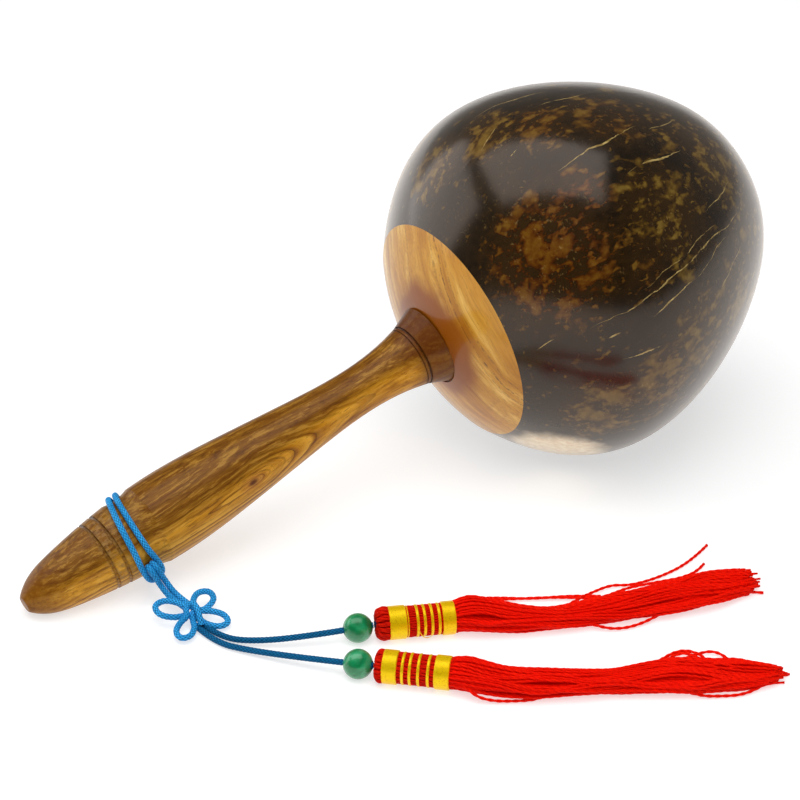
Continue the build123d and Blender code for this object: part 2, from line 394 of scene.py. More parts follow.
def shell_material():
    """Polished dark coconut shell under lacquer, with mottling and pale fibres along it."""
    shader = Shader("lacquered_coconut")
    place = shader.local(shell_centre, math.asin(shell_axis.z))
    unit = shader.vector("NORMALIZE", place)
    along, sideways, upward = shader.split(place)
    flat = shader.hypotenuse(sideways, upward)
    latitude = shader.math("DEGREES", shader.math("ARCTAN2", along, flat))
    longitude = shader.math("DEGREES", shader.math("ARCTAN2", upward, sideways * -1.0))

    # Where the mottled patches are, and how red
    cover, red = 0.0, 0.0
    for patch_latitude, patch_longitude, reach, strength, redness in MOTTLED_PATCHES:
        heart = from_shell_centre(patch_latitude, patch_longitude)
        nearness = shader.vector("DOT_PRODUCT", unit, heart)
        edge, core = math.cos(math.radians(reach * 1.5)), math.cos(math.radians(reach * 0.35))
        cover = shader.math("MAXIMUM", cover, shader.spread(nearness, edge, core, 0.0, strength))
        red = shader.math("MAXIMUM", red, shader.spread(nearness, edge, core, 0.0, redness))

    # Blotches are where one of three noises passes a level, which is lower inside a patch
    lengthened = shader.join(along * 0.62, sideways, upward)
    cluster = shader.noise(lengthened, 0.12, 3, 0.6)
    level = cluster * -0.16 + (cover * -0.135 + 0.735)
    blotches, depth = 0.0, 0.0
    for scale, harder in ((0.19, 0.0), (0.36, 0.014), (0.70, 0.068)):
        field = shader.noise(shader.warp(lengthened, scale * 1.4, 0.7), scale, 2.4, 0.50)
        above = field - level - harder
        blotches = shader.math("MAXIMUM", blotches, shader.spread(above, -0.022, 0.040))
        depth = shader.math("MAXIMUM", depth, above)
    mottle = shader.noise(place, 0.55, 3)
    tone = shader.math("MINIMUM", depth, 0.12) * 3.4 + mottle * 0.72
    haze = shader.spread(cover * 0.5 + shader.noise(lengthened, 0.5, 3), 0.45, 1.0)
    warm = red * shader.spread(shader.noise(place, 0.12, 2), 0.05, 0.30)
    olive = shader.ramp(
        tone,
        (0.30, (0.024, 0.011, 0.002)), (0.46, (0.050, 0.025, 0.003)),
        (0.62, (0.088, 0.049, 0.006)), (0.85, (0.16, 0.098, 0.016)),
    )
    rust = shader.ramp(
        tone,
        (0.30, (0.018, 0.005, 0.0006)), (0.46, (0.046, 0.0115, 0.0008)),
        (0.62, (0.082, 0.024, 0.0015)), (0.85, (0.13, 0.053, 0.004)),
    )
    ground = shader.ramp(
        shader.noise(lengthened, 0.06, 4),
        (0.35, (0.0050, 0.0026, 0.0007)), (0.65, (0.015, 0.0080, 0.0020)),
    )
    shader.colour = shader.mix(haze * 0.5, ground, (0.040, 0.018, 0.0035))
    shader.layer(blotches, shader.mix(warm, olive, rust))

    # Fine meridian scratches of the fibre, closest in the patches
    ray = shader.join(along * 0.035, sideways / flat, upward / flat)
    thin = shader.spread(shader.noise(ray, 34.0, 3, 0.65), 0.60, 0.70)
    kept = shader.spread(shader.noise(place, 0.055, 2), 0.42, 0.62)
    shader.layer(thin * kept * (cover * 0.30 + 0.12), (0.30, 0.19, 0.06))

    # A few pale fibres
    sway = (shader.noise(place, 0.045, 4) - 0.5) * 9.0
    ragged = shader.spread(shader.noise(place, 0.22, 4, 0.7), 0.30, 0.58, 0.15, 1.25)
    millimetres_per_degree = flat * math.radians(1)
    pale = 0.0
    for centre, drift, first, last, width in PALE_FIBRES:
        travel = (latitude - (first + last) / 2) / ((last - first) / 2)
        line = travel * (drift / 2) + centre + sway
        apart = shader.math("WRAP", longitude - line, 180.0, -180.0)
        away = abs(apart) * millimetres_per_degree
        taper = shader.math("SUBTRACT", 1.0, travel**2.0, clamp=True)
        shown = shader.math("DIVIDE", taper * width * ragged - away, 0.10, clamp=True)
        pale = shader.math("MAXIMUM", pale, shown)
    straw = shader.ramp(mottle, (0.35, (0.20, 0.125, 0.030)), (0.62, (0.43, 0.31, 0.11)))
    shader.layer(pale, straw)

    # A bare pale patch low on the shell, beside the cap
    bare = shader.vector("DOT_PRODUCT", unit, from_shell_centre(-36, -54)) + (cluster - 0.5) * 0.03
    cream = shader.ramp(mottle, (0.35, (0.78, 0.60, 0.38)), (0.65, (0.92, 0.80, 0.58)))
    shader.layer(shader.spread(bare, 0.958, 0.986), cream)

    shader.bump(blotches + pale * 0.8, 0.10, 0.00005)
    return shader.finish(
        roughness=0.19, ior=1.56, specular_ior_level=0.5, specular_tint=(1.0, 0.84, 0.74, 1.0),
        sheen_weight=0.60, sheen_roughness=0.35, sheen_tint=(1.0, 0.90, 0.80, 1.0),
    )


# ------------------------------ woods


def wood_pores(shader, parts, along_scale, across_scale, low, high):
    """Short dark dashes along the first of a place's parts, where vessels are cut open."""
    stretched = shader.stretched(parts, (along_scale, across_scale, across_scale))
    return shader.spread(shader.noise(stretched, 1.0, 3, 0.6), low, high)


def handle_material():
    """Golden brown turned hardwood: streaks along it that arch round one knot on the front."""
    shader = Shader("turned_hardwood")
    place = shader.local(handle_end, math.asin(handle_axis.z))
    parts = shader.split(place)
    station = parts[0]

    # The knot's branch comes straight out at this station and angle round the handle
    knot_station, knot_angle = 69.5, math.radians(8)
    outward = (0, -math.cos(knot_angle), math.sin(knot_angle))
    crosswise = (0, math.sin(knot_angle), math.cos(knot_angle))
    depth = shader.vector("DOT_PRODUCT", place, outward)
    wander = shader.noise(shader.stretched(parts, (0.020, 0.10, 0.10)), 1.0, 3, 0.55) * 2.8 - 1.4
    ripple = shader.noise(place, 0.16, 3, 0.6) * 0.9 - 0.45
    across = shader.vector("DOT_PRODUCT", place, crosswise) + (wander + ripple)
    past_knot = station - knot_station
    towards_neck = shader.math("TANH", shader.math("MAXIMUM", past_knot, 0.0) * 0.042) * 8.0
    towards_tip = shader.math("TANH", shader.math("MINIMUM", past_knot, 0.0) * 0.03) * 2.4
    field = depth * 0.16 + shader.hypotenuse(towards_neck + towards_tip, across)

    # Rings: a thin dark line and then gold, each ring with its own strength
    count = field / 1.45
    per_ring = shader.node("TexWhiteNoise", noise_dimensions="1D")
    shader.put(per_ring.inputs["W"], shader.math("FLOOR", count))
    gold, tan = (0.56, 0.245, 0.010), (0.72, 0.370, 0.036)
    brown, dark = (0.29, 0.097, 0.005), (0.085, 0.022, 0.001)
    ring_stops = [(0.0, dark), (0.14, brown), (0.34, gold), (0.78, tan), (0.92, brown), (1.0, dark)]
    ring_colour = shader.ramp(shader.math("FRACT", count), *ring_stops)
    grain = shader.noise(shader.stretched(parts, (0.05, 0.75, 0.75)), 1.0, 4, 0.65)
    plain = shader.ramp(grain, (0.34, brown), (0.50, gold), (0.66, tan))
    plainness = shader.spread(per_ring.outputs["Value"], 0.15, 0.95, 0.12, 0.80)
    shader.colour = shader.mix(plainness, ring_colour, plain)

    # Fine streaks follow the same arches, and are strongest on the upper side
    upper_side = shader.spread(across, -2.0, 5.0, 0.45, 1.0)
    streaks = shader.noise(shader.join(station * 0.035, field, depth * 0.4), 1.9, 4, 0.72)
    dark_streak = shader.spread(streaks, 0.50, 0.66) * upper_side
    pale_streak = shader.spread(streaks, 0.50, 0.36) * upper_side
    # Painted shade: the upper side of the handle is darkened
    painted_upper_shade = shader.spread(across, 0.5, 5.0, 0.0, 0.84)
    dashes = wood_pores(shader, parts, 0.22, 3.4, 0.60, 0.68)
    shader.layer(painted_upper_shade, (0.13, 0.044, 0.004))
    shader.layer(dark_streak * 0.78, (0.090, 0.028, 0.002))
    shader.layer(pale_streak * 0.34, (0.66, 0.36, 0.055))
    shader.layer(dashes * 0.65, (0.080, 0.025, 0.004))

    # The one long dark line above the knot, and the knot's reddish heart
    dark_line = shader.spread(abs(field - 2.2), 0.20, 0.75, 0.85, 0.0)
    on_upper_arm = shader.spread(across, 0.2, 1.4)
    line_end = shader.spread(past_knot, 2.0, 6.0, 1.0, 0.25)
    shader.layer(dark_line * (on_upper_arm * line_end), (0.085, 0.022, 0.003))
    near_side = shader.spread(depth, 1.0, 5.0)
    knot_gap = shader.hypotenuse(past_knot * 0.55, across)
    blush = shader.spread(knot_gap, 0.6, 3.4, 0.45, 0.0)
    shader.layer(blush * near_side, (0.36, 0.115, 0.030))
    heart = shader.spread(knot_gap, 0.3, 1.3, 0.85, 0.0)
    shader.layer(heart * near_side, (0.075, 0.018, 0.008))

    # Burnished darker where the lathe tool cut the rings: station, half width, strength
    burnt = 0.0
    cuts = [(24.0, 0.7, 0.38), (27.6, 0.7, 0.38), (129.9, 0.5, 0.5), (131.0, 0.5, 0.5)]
    for cut, half_width, strength in cuts:
        burn = shader.spread(abs(station - cut), half_width * 0.4, half_width * 1.6, strength, 0.0)
        burnt = shader.math("MAXIMUM", burnt, burn)
    uneven = shader.spread(shader.noise(place, 0.35, 3), 0.3, 0.6, 0.30, 1.0)
    shader.layer(burnt * uneven, (0.085, 0.036, 0.010))

    # Scuffed pale beside the rings, and darker at the collar and the tip
    scuffed = shader.spread(abs(station - 27.4), 2.5, 6.0, 0.55, 0.0)
    scuff_noise = shader.spread(shader.noise(place, 0.7, 4, 0.7), 0.45, 0.6)
    shader.layer(scuffed * scuff_noise, (0.30, 0.165, 0.050))
    collar_shade = shader.spread(station, 124.0, 132.0, 0.0, 0.82)
    shader.layer(collar_shade, (0.095, 0.022, 0.002))
    tip_shade = shader.spread(station, 0.5, 14.0, 0.80, 0.0)
    shader.layer(tip_shade, (0.18, 0.060, 0.004))

    shader.bump(dashes + dark_streak * 0.5, -0.22, 0.00012)
    return shader.finish(
        roughness=0.45, specular_ior_level=0.08, coat_weight=0.30, coat_roughness=0.22,
        coat_ior=1.4,
    )


def cap_material():
    """Pale honey wood, glossy, with its grain across the cap and a few dark vessel lines."""
    shader = Shader("honey_wood")
    place = shader.local(shell_centre, math.asin(shell_axis.z))
    depth, sideways, upward = shader.split(place)
    grain_angle = math.radians(54)
    cosine, sine = math.cos(grain_angle), math.sin(grain_angle)
    with_grain = sideways * cosine + upward * sine
    over_grain = sideways * sine - upward * cosine
    slow = shader.stretched((with_grain, over_grain, depth), (0.02, 0.06, 0.05))
    bands = over_grain + (shader.noise(slow, 1.0, 3) - 0.5) * 12.0
    parts = (with_grain, bands, depth)
    shader.colour = shader.ramp(
        shader.noise(shader.stretched(parts, (0.012, 0.20, 0.1)), 1.0, 4, 0.55),
        (0.30, (0.38, 0.140, 0.006)), (0.44, (0.52, 0.225, 0.015)),
        (0.56, (0.62, 0.310, 0.036)), (0.72, (0.92, 0.600, 0.160)),
    )
    fine = wood_pores(shader, parts, 0.035, 1.5, 0.46, 0.66)
    shader.layer(fine * 0.42, (0.36, 0.14, 0.016))
    pores = wood_pores(shader, parts, 0.40, 3.4, 0.63, 0.70)
    shader.layer(pores * 0.55, (0.24, 0.09, 0.016))

    # Dark dotted vessel lines: place across the grain, and strength
    vessels = [(-21.5, 0.85), (-24.6, 0.5), (-8.0, 0.35), (-19.0, 0.4), (9.0, 0.4), (20.0, 0.35)]
    dotted = shader.spread(shader.noise(shader.join(*parts), 0.9, 3, 0.7), 0.40, 0.60)
    for vessel, strength in vessels:
        line = shader.spread(abs(bands - vessel), 0.1, 0.5, strength, 0.0)
        shader.layer(line * dotted, (0.13, 0.050, 0.010))

    # Deep amber round the handle's collar, most above it
    from_collar = shader.hypotenuse(sideways + 3.0, upward - 2.0)
    ragged_edge = shader.noise(place, 0.10, 3) * -8.0 + from_collar
    amber = shader.spread(ragged_edge, 10.0, 17.0, 0.96, 0.0)
    shader.layer(amber, (0.27, 0.066, 0.0))

    shader.bump(pores + fine * 0.3, -0.12, 0.00010)
    return shader.finish(
        roughness=0.40, specular_ior_level=0.1, coat_weight=0.6, coat_roughness=0.10,
        coat_ior=1.45,
    )


def seed_material():
    """Dull brown canna seeds."""
    shader = Shader("dry_seed")
    place = shader.local()
    shader.colour = shader.ramp(
        shader.noise(place, 0.5, 4),
        (0.35, (0.05, 0.028, 0.016)), (0.55, (0.13, 0.075, 0.036)), (0.7, (0.24, 0.15, 0.075)),
    )
    shader.bump(shader.noise(place, 1.6, 4), 0.4, 0.0001)
    return shader.finish(roughness=0.7)


def bead_material():
    """Jade green glass-like bead, cloudy, with slow swirls."""
    shader = Shader("green_jade")
    place = shader.local()
    shader.colour = shader.ramp(
        shader.noise(place, 0.16, 3, 0.5, 1.2),
        (0.34, (0.002, 0.150, 0.045)), (0.50, (0.007, 0.245, 0.082)),
        (0.66, (0.038, 0.365, 0.155)),
    )
    shader.bump(shader.noise(place, 1.1, 2), 0.04, 0.00005)
    return shader.finish(
        roughness=0.30, subsurface_weight=0.25, subsurface_radius=(0.6, 1.0, 0.7),
        subsurface_scale=0.0012, coat_weight=0.6, coat_roughness=0.10,
    )


# ------------------------------ the cord

CORD_RADIUS = 0.85 * MM
WRAP_RADIUS = 11.6
SEAT_ARC = 14.0
HITCH_LEAN = 3.4
BRAID_COLUMNS = 6
BRAID_PITCH = 1.10 * MM
BRAID_SIDES = 40
BRAID_STEP = 0.125 * MM


def braided_tube(line):
    """A cord of two sets of strands that pass over and under each other, and its relief."""
    line = spaced(line, BRAID_STEP)
    reach = reach_along(line)[:, None] / BRAID_PITCH
    round_it = np.arange(BRAID_SIDES)[None, :] / BRAID_SIDES * BRAID_COLUMNS
    one_way, other_way = round_it + reach, round_it - reach
    one_on_top = (np.floor(one_way) + np.floor(other_way)) % 2 == 0
    one_share, other_share = one_way % 1 * 2 - 1, other_way % 1 * 2 - 1
    over = np.where(one_on_top, one_share, other_share)
    along = np.where(one_on_top, other_share, one_share)
    relief = np.sqrt(1 - over**2 * 0.96) * (0.55 + 0.45 * np.sqrt(1 - along**2 * 0.96))
    return tube_grid(line, CORD_RADIUS * (0.80 + 0.22 * relief), BRAID_SIDES), relief


def round_handle(offset, angle, radius):
    """Place at a distance along the handle from the hitch's middle, degrees from -Y up, and radius.

    The hitch leans: its front is nearer the handle's tip, and lies on the sides of its seat.
    """
    turn = math.radians(angle)
    offset -= HITCH_LEAN * math.cos(math.radians(angle - 30))
    radius += SEAT_ARC - math.sqrt(SEAT_ARC**2 - offset**2)
    outward = Vector((0, -1, 0)) * math.cos(turn) + handle_up * math.sin(turn)
    return hitch_centre + handle_axis * (offset * MM) + outward * (radius * MM)


def hitch_half(side):
    """Route of one half of the hitch, from the flower knot to the bight. side is -1 or 1."""
    stem = [
        Vector((-83.0 + 0.95 * side, -24.3, 4.0)) * MM,
        Vector((-84.0 + 0.95 * side, -18.6, 4.3)) * MM,
    ]
    # Over the bight, and back under it along the handle: offset, angle and radius
    hairpin = [
        (0.90, -27, 16.4), (0.88, -15, 15.6), (0.84, -6, 14.8), (0.80, -5, 12.6), (0.78, -15, 11.7),
    ]
    # One turn round the handle: down and round the back, over the top and down the front
    steps = 15
    wrap = []
    for step in range(1, steps + 1):
        share = step / steps
        angle = -22 - 326 * share
        spread = 0.74 + 0.55 * share + 0.75 * max(0.0, share - 0.75) / 0.25
        wrap.append((spread, angle, WRAP_RADIUS + 0.2))
    bight = [(2.40, 0, 11.8), (2.55, -12, 12.4), (2.45, -23, 13.3), (1.25, -31, 13.8)]
    places = [*hairpin, *wrap, *bight]
    return [*stem, *(round_handle(spread * side, *place) for spread, *place in places)]


cord_material = fibre_material(
    "braided_blue_cord", crest=(0.043, 0.450, 0.950), shaded_hollow=(0.001, 0.040, 0.140),
    tint=(0.006, 0.180, 0.44), roughness=0.50, specular=0.12, seam=0.38,
)

hitch_route = [*hitch_half(-1), *reversed(hitch_half(1))]
hitch_line = spline_line(hitch_route)
hitch_cord = object_from_tubes("hitch_cord", [braided_tube(hitch_line)])
hitch_nodes = ["hitch_wraps", "hitch_bight", "stem_strand_left", "stem_strand_right"]
finish_piece(hitch_cord, cord_material, "lanyard", "cord_blue", *hitch_nodes)

# ------------------------------ flower knot

knot_middle = middle("knot_centre")
KNOT_TURN, KNOT_LEAN = math.radians(-34), math.radians(12)
knot_right = Vector(
    (
        math.cos(KNOT_TURN),
        math.sin(KNOT_TURN) * math.cos(KNOT_LEAN),
        math.sin(KNOT_TURN) * math.sin(KNOT_LEAN),
    )
)
knot_normal = Vector((0, -math.sin(KNOT_LEAN), math.cos(KNOT_LEAN)))
knot_far = knot_normal.cross(knot_right)


def knot_point(x, y, height):
    """Millimetres in the flower knot's own plane, from its middle."""
    return knot_middle + (knot_right * x + knot_far * y + knot_normal * height) * MM


def knot_polar(angle, reach, height=0.0, across=0.0):
    """Millimetres out from the knot's middle at this angle, and to the left of that line."""
    turn = math.radians(angle)
    x = math.cos(turn) * reach - math.sin(turn) * across
    y = math.sin(turn) * reach + math.cos(turn) * across
    return knot_point(x, y, height)


def petal(angle, reach, half_width, start_height, end_height, way):
    """Route of one petal, out on one side and back on the other. way is 1 or -1."""
    return [
        knot_polar(angle, 2.4, start_height, 0.85 * way),
        knot_polar(angle, 0.48 * reach, start_height * 0.5, 0.9 * half_width * way),
        knot_polar(angle, 0.90 * reach, 0.0, 1.05 * half_width * way),
        knot_polar(angle, 1.13 * reach, 0.0, 0.0),
        knot_polar(angle, 0.90 * reach, 0.0, -1.05 * half_width * way),
        knot_polar(angle, 0.48 * reach, end_height * 0.5, -0.9 * half_width * way),
        knot_polar(angle, 2.4, end_height, -0.85 * way),
    ]


flower_route = [
    knot_polar(124, 3.9, 0.3),
    knot_polar(124, 1.2, 1.4),
    *petal(-12, 8.9, 2.5, 0.9, -0.8, 1),
    knot_polar(-110, 0.6, -0.3),
    *petal(172, 9.6, 2.9, -0.6, 0.9, 1),
    knot_polar(118, 1.5, 1.5),
    *petal(68, 9.0, 2.5, 0.8, -0.7, 1),
    knot_polar(211, 0.58, 0.9),
    *petal(-105, 9.2, 2.2, -0.7, 0.7, 1),
    knot_polar(160, 2.4, 1.2),
    knot_polar(110, 2.0, 2.4),
    knot_polar(15, 0.7, 2.6),
    knot_polar(-50, 2.6, 1.5),
    knot_polar(-58, 4.6, -0.2),
]
flower_line = spline_line(flower_route)
flower_knot = object_from_tubes("flower_knot", [braided_tube(flower_line)])
petal_nodes = ["knot_petal_" + name for name in ("left", "top", "right", "bottom")]
finish_piece(flower_knot, cord_material, "lanyard", "cord_blue", "knot_centre", *petal_nodes)

# ------------------------------ tails


def tail_route(start, name):
    """A tail's route from the flower knot to its tassel's pivot."""
    pivot = joint_place(f"tassel_{name}_swing")[0]
    direction = joint_place(f"bead_{name}_slide")[1]
    ending = [pivot - direction * 14 * MM, pivot - direction * 0.15 * MM]
    return [*(Vector(place) * MM for place in start), *ending]


# Painted shade: the tails are the hitch's blue cord in a darker copy of its material
shaded_tail_material = fibre_material(
    "braided_cord_shaded_copy", crest=(0.007, 0.150, 0.340), shaded_hollow=(0.001, 0.020, 0.070),
    tint=(0.002, 0.085, 0.205), roughness=0.55, specular=0.08, seam=0.38,
)
tail_starts = {
    "upper": [(-82.0, -29.3, 1.3), (-81.5, -38.0, 1.0), (-74.5, -46.6, 1.9)],
    "lower": [(-83.9, -29.8, 1.3), (-83.6, -39.0, 0.95), (-78.2, -48.5, 1.5)],
}
for name, start in tail_starts.items():
    tail_line = spline_line(tail_route(start, name))
    tail = object_from_tubes("tail_cord_" + name, [braided_tube(tail_line)])
    finish_piece(tail, shaded_tail_material, "lanyard", "cord_blue", "tail_" + name)

# ------------------------------ tassels

# The threads glow with painted light, which lifts their shade
red_thread = fibre_material(
    "red_thread", crest=(0.88, 0.010, 0.001), shaded_hollow=(0.55, 0.001, 0.0), tint=(0.78, 0.004, 0.0),
    roughness=0.60, specular=0.05, painted_glow=0.08,
)
# Painted shade: the knobs and bound cores take a darker copy of the red thread
shaded_bound_thread = fibre_material(
    "red_thread_shaded_copy", crest=(0.66, 0.010, 0.001), shaded_hollow=(0.34, 0.001, 0.0),
    tint=(0.54, 0.004, 0.0), roughness=0.60, specular=0.05, painted_glow=0.05,
)
gold_thread = fibre_material(
    "gold_thread", crest=(1.0, 0.76, 0.005), shaded_hollow=(0.52, 0.19, 0.0), tint=(0.92, 0.54, 0.002),
    roughness=0.34, metallic=0.45, painted_glow=0.10,
)
TASSEL_HEIGHT = 4.5 * MM
THREAD_RADIUS = 0.34
STRAY_RADIUS = 0.42
SKIRT_THREADS = 120
PLY_PITCH = 2.2


def heading(turn):
    return Vector((math.cos(math.radians(turn)), math.sin(math.radians(turn)), 0))


class Tassel:
    """A tassel's own frame: station along it from the pivot, sideways to its left, and height."""

    def __init__(self, name, turn, sections):
        pivot = joint_place(f"tassel_{name}_swing")[0]
        self.origin = Vector((pivot.x, pivot.y, TASSEL_HEIGHT))
        self.ahead = heading(turn)
        self.left = heading(turn + 90)
        self.sections = np.array(sections, float)

    def points(self, stations, lefts, ups):
        """Points from millimetres along, to the left and above the axis."""
        ahead, left = np.array(self.ahead), np.array(self.left)
        spread = np.outer(stations, ahead) + np.outer(lefts, left) + np.outer(ups, (0, 0, 1))
        return np.array(self.origin) + spread * MM

    def ring(self, stations, radii, around):
        """A grid of rings round the axis. radii is a column of one for each station, or a grid."""
        angle = np.arange(around) * math.tau / around
        radii = np.broadcast_to(radii, (len(stations), around))
        lefts, ups = radii * np.cos(angle), radii * np.sin(angle)
        flat = self.points(np.repeat(stations, around), lefts.ravel(), ups.ravel())
        return flat.reshape(len(stations), around, 3)

    def section(self, stations):
        """Middle to the left, height, half width and half height of the skirt at these stations."""
        known, *columns = self.sections.T
        return [np.interp(stations, known, column) for column in columns]


def twisted_tube(line, radius, sides, step, phase):
    """A thread of two plies twisted together, and its relief."""
    line = spaced(line, step)
    turn = reach_along(line)[:, None] / (PLY_PITCH * MM) * math.tau / 2 + phase
    angle = np.arange(sides)[None, :] * math.tau / sides
    relief = 0.5 + 0.5 * np.cos(2 * (angle - turn))
    return tube_grid(line, radius * MM * (0.80 + 0.28 * relief), sides), 0.35 + 0.65 * relief


def knob_threads(tassel, draw, squash):
    """Threads folded over the tassel's front end, from its hole to the first band."""
    pushed = squash * np.array([0, 0, 0, 0, 0.1, 0.4, 0.8, 1.0])
    profile_stations = np.array([2.1, 1.2, 0.75, 0.75, 1.15, 2.1, 3.1, 4.4]) - pushed
    profile_radii = np.array([1.4, 1.5, 2.0, 2.8, 3.6, 4.05, 4.20, 3.95])
    filler_radii = np.maximum(profile_radii - 0.25, 0.3)
    filler_stations = profile_stations + np.array([0, 0.3, 0.35, 0.3, 0.2, 0, 0, 0])
    # The filling has relief 0, so it shows all in its material's painted hollow shade
    tubes = [(tassel.ring(filler_stations, filler_radii[:, None], 32), 0.0)]
    count = 30
    for index in range(count):
        angle = math.tau * (index + draw.uniform(-0.3, 0.3)) / count
        lean = draw.uniform(-0.16, 0.16)
        swell = draw.uniform(-0.14, 0.16)
        angles = angle + lean * np.linspace(1, 0, len(profile_stations))
        radii = profile_radii + swell * np.sin(np.linspace(0, math.pi, len(profile_stations)))
        stations = profile_stations - 0.1 * swell
        line = spline_line(tassel.points(stations, radii * np.cos(angles), radii * np.sin(angles)))
        tubes.append(twisted_tube(line, 0.42, 8, 0.25 * MM, draw.uniform(0, 6)))
    return tubes


def core_threads(tassel, draw, squash):
    """Threads drawn straight through under the bands, over a plain filling."""
    stations = np.linspace(3.8, 22.4, 6) - squash
    # The filling has relief 0, so it shows all in its material's painted hollow shade
    tubes = [(tassel.ring(stations, 3.85, 32), 0.0)]
    count = 40
    for index in range(count):
        angle = math.tau * (index + draw.uniform(-0.2, 0.2)) / count
        angles = angle + draw.uniform(-0.05, 0.05) * np.linspace(0, 1, len(stations))
        radius = 3.92 + draw.uniform(-0.05, 0.05)
        line = tassel.points(stations, radius * np.cos(angles), radius * np.sin(angles))
        tubes.append(twisted_tube(line, 0.30, 7, 0.30 * MM, draw.uniform(0, 6)))
    return tubes


def wound_band(tassel, start, width, radius, turns):
    """Fine gold thread wound side by side, and its relief."""
    around, per_turn = 64, 7
    stations = np.linspace(start, start + width, turns * per_turn + 1)
    angle = np.arange(around)[None, :] / around
    phase = (stations[:, None] - start) / width * turns + angle
    crest = np.abs(np.sin(math.pi * phase))
    ends = np.minimum(stations - start, start + width - stations)[:, None]
    rounding = np.sqrt(np.clip(ends / 0.22, 0, 1))
    radii = 3.9 + (radius - 3.9) * (0.55 + 0.45 * rounding) * (0.93 + 0.07 * crest)
    return tassel.ring(stations, radii, around), 0.15 + 0.85 * crest


def parted(angles, stations, parting):
    """Turns threads aside from a short parting: its angle, its middle and how far they turn."""
    parting_angle, parting_station, push = parting
    apart = (angles - parting_angle + math.pi) % math.tau - math.pi
    nearness = np.exp(-((apart / 0.55) ** 2)) * np.exp(-(((stations - parting_station) / 3.4) ** 2))
    return angles + np.where(apart < 0, -push, push) * nearness


def skirt_threads(tassel, draw, count, parting):
    """Threads of the skirt, in locks that wander together. They end unevenly."""
    tubes = []
    first, last = tassel.sections[0, 0], tassel.sections[-1, 0]
    golden = math.pi * (3 - math.sqrt(5))
    lock_count = 13
    locks = []
    for _ in range(lock_count):
        locks.append((draw.uniform(0, 6), draw.uniform(9, 17), draw.uniform(0.14, 0.36)))
    for index in range(count):
        out = math.sqrt((index + 0.5) / count)
        angle = index * golden
        lock_phase, lock_waves, lock_sway = locks[int(angle / math.tau % 1 * lock_count)]
        end = last + draw.gauss(-1.4, 1.2) + (1.0 if out < 0.5 else 0)
        stations = np.linspace(first - 1.2, end, 19)
        lefts, heights, half_widths, half_heights = tassel.section(stations)
        travel = np.clip((stations - first) / (last - first), 0, 1)
        loosened = np.minimum(travel * 4, 1)
        swirl = draw.uniform(-0.35, 0.35)
        sway = lock_sway * np.sin(travel * lock_waves + lock_phase)
        shiver = 0.05 * np.sin(travel * draw.uniform(16, 30) + draw.uniform(0, 6))
        angles = parted(angle + swirl * travel + (sway + shiver) * loosened, stations, parting)
        drift = draw.uniform(-0.25, 0.25)
        breathing = 0.07 * np.sin(travel * lock_waves * 1.3 + lock_phase)
        outs = out * 0.93 + (drift * travel * (1 - out) + breathing) * loosened
        outs = np.clip(outs, 0, 0.97)
        left = lefts + half_widths * outs * np.cos(angles)
        up = heights - TASSEL_HEIGHT / MM + half_heights * outs * np.sin(angles)
        up = np.maximum(up, THREAD_RADIUS + 0.05 - TASSEL_HEIGHT / MM)
        line = spline_line(tassel.points(stations, left, up))
        sides, step = (6, 0.55 * MM) if out > 0.60 else (5, 1.3 * MM)
        tubes.append(twisted_tube(line, THREAD_RADIUS, sides, step, draw.uniform(0, 6)))
    return tubes


def stray_threads(tassel, strays, draw, radius):
    """Loose threads: each a list of station, sideways and height above the floor."""
    tubes = []
    for stray in strays:
        stations, lefts, heights = np.array(stray, float).T
        heights = np.maximum(heights, 1.25 * radius)
        line = spline_line(tassel.points(stations, lefts, heights - TASSEL_HEIGHT / MM))
        tubes.append(twisted_tube(line, radius, 8, 0.30 * MM, draw.uniform(0, 6)))
    return tubes


tassel_turns = {"upper": -24.8, "lower": -44.5}
# How much nearer the bands sit to the front of one tassel, in millimetres
squashes = {"upper": 0.0, "lower": 1.3}
# A winding of gold thread is its first station, width, radius and turns
windings = {
    "upper": {
        "front_band": [(3.9, 4.6, 4.55, 18), (8.7, 0.35, 4.38, 2)],
        "thin_bands": [(station, 0.75, 4.38, 3) for station in (11.05, 12.95, 14.9, 16.85)],
        "rear_band": [(18.15, 3.5, 4.55, 14)],
    },
    "lower": {
        "front_band": [(2.6, 3.9, 4.55, 15)],
        "thin_bands": [(station, 0.75, 4.38, 3) for station in (7.65, 9.6, 11.85, 14.4)],
        "rear_band": [(16.35, 4.0, 4.55, 16)],
    },
}
# A section is station, sideways, height, half width, half height
skirt_sections = {
    "upper": [
        (21.6, 0, 4.5, 4.1, 4.1), (25, 0.9, 5.0, 6.1, 4.9), (30, 0.1, 4.6, 6.4, 4.4),
        (39, -2.4, 3.7, 4.7, 3.6), (49, -2.8, 3.0, 3.7, 2.9), (61, -1.1, 3.1, 4.9, 3.0),
        (82, 2.8, 2.9, 7.2, 2.8), (95, 5.8, 2.6, 7.6, 2.5), (106, 8.6, 2.1, 5.8, 2.0),
    ],
    "lower": [
        (20.3, 0, 4.5, 4.1, 4.1), (24, 0.3, 4.9, 5.7, 4.7), (31, -0.4, 4.2, 5.7, 4.0),
        (39, 0.3, 3.6, 5.2, 3.4), (49, 2.5, 3.3, 5.0, 3.2), (61, 6.0, 3.1, 4.8, 3.0),
        (74, 11.2, 3.0, 6.9, 2.9), (86, 14.0, 2.9, 8.0, 2.8), (95, 15.6, 2.6, 6.6, 2.5),
        (103.5, 18.6, 2.0, 2.8, 1.9),
    ],
}
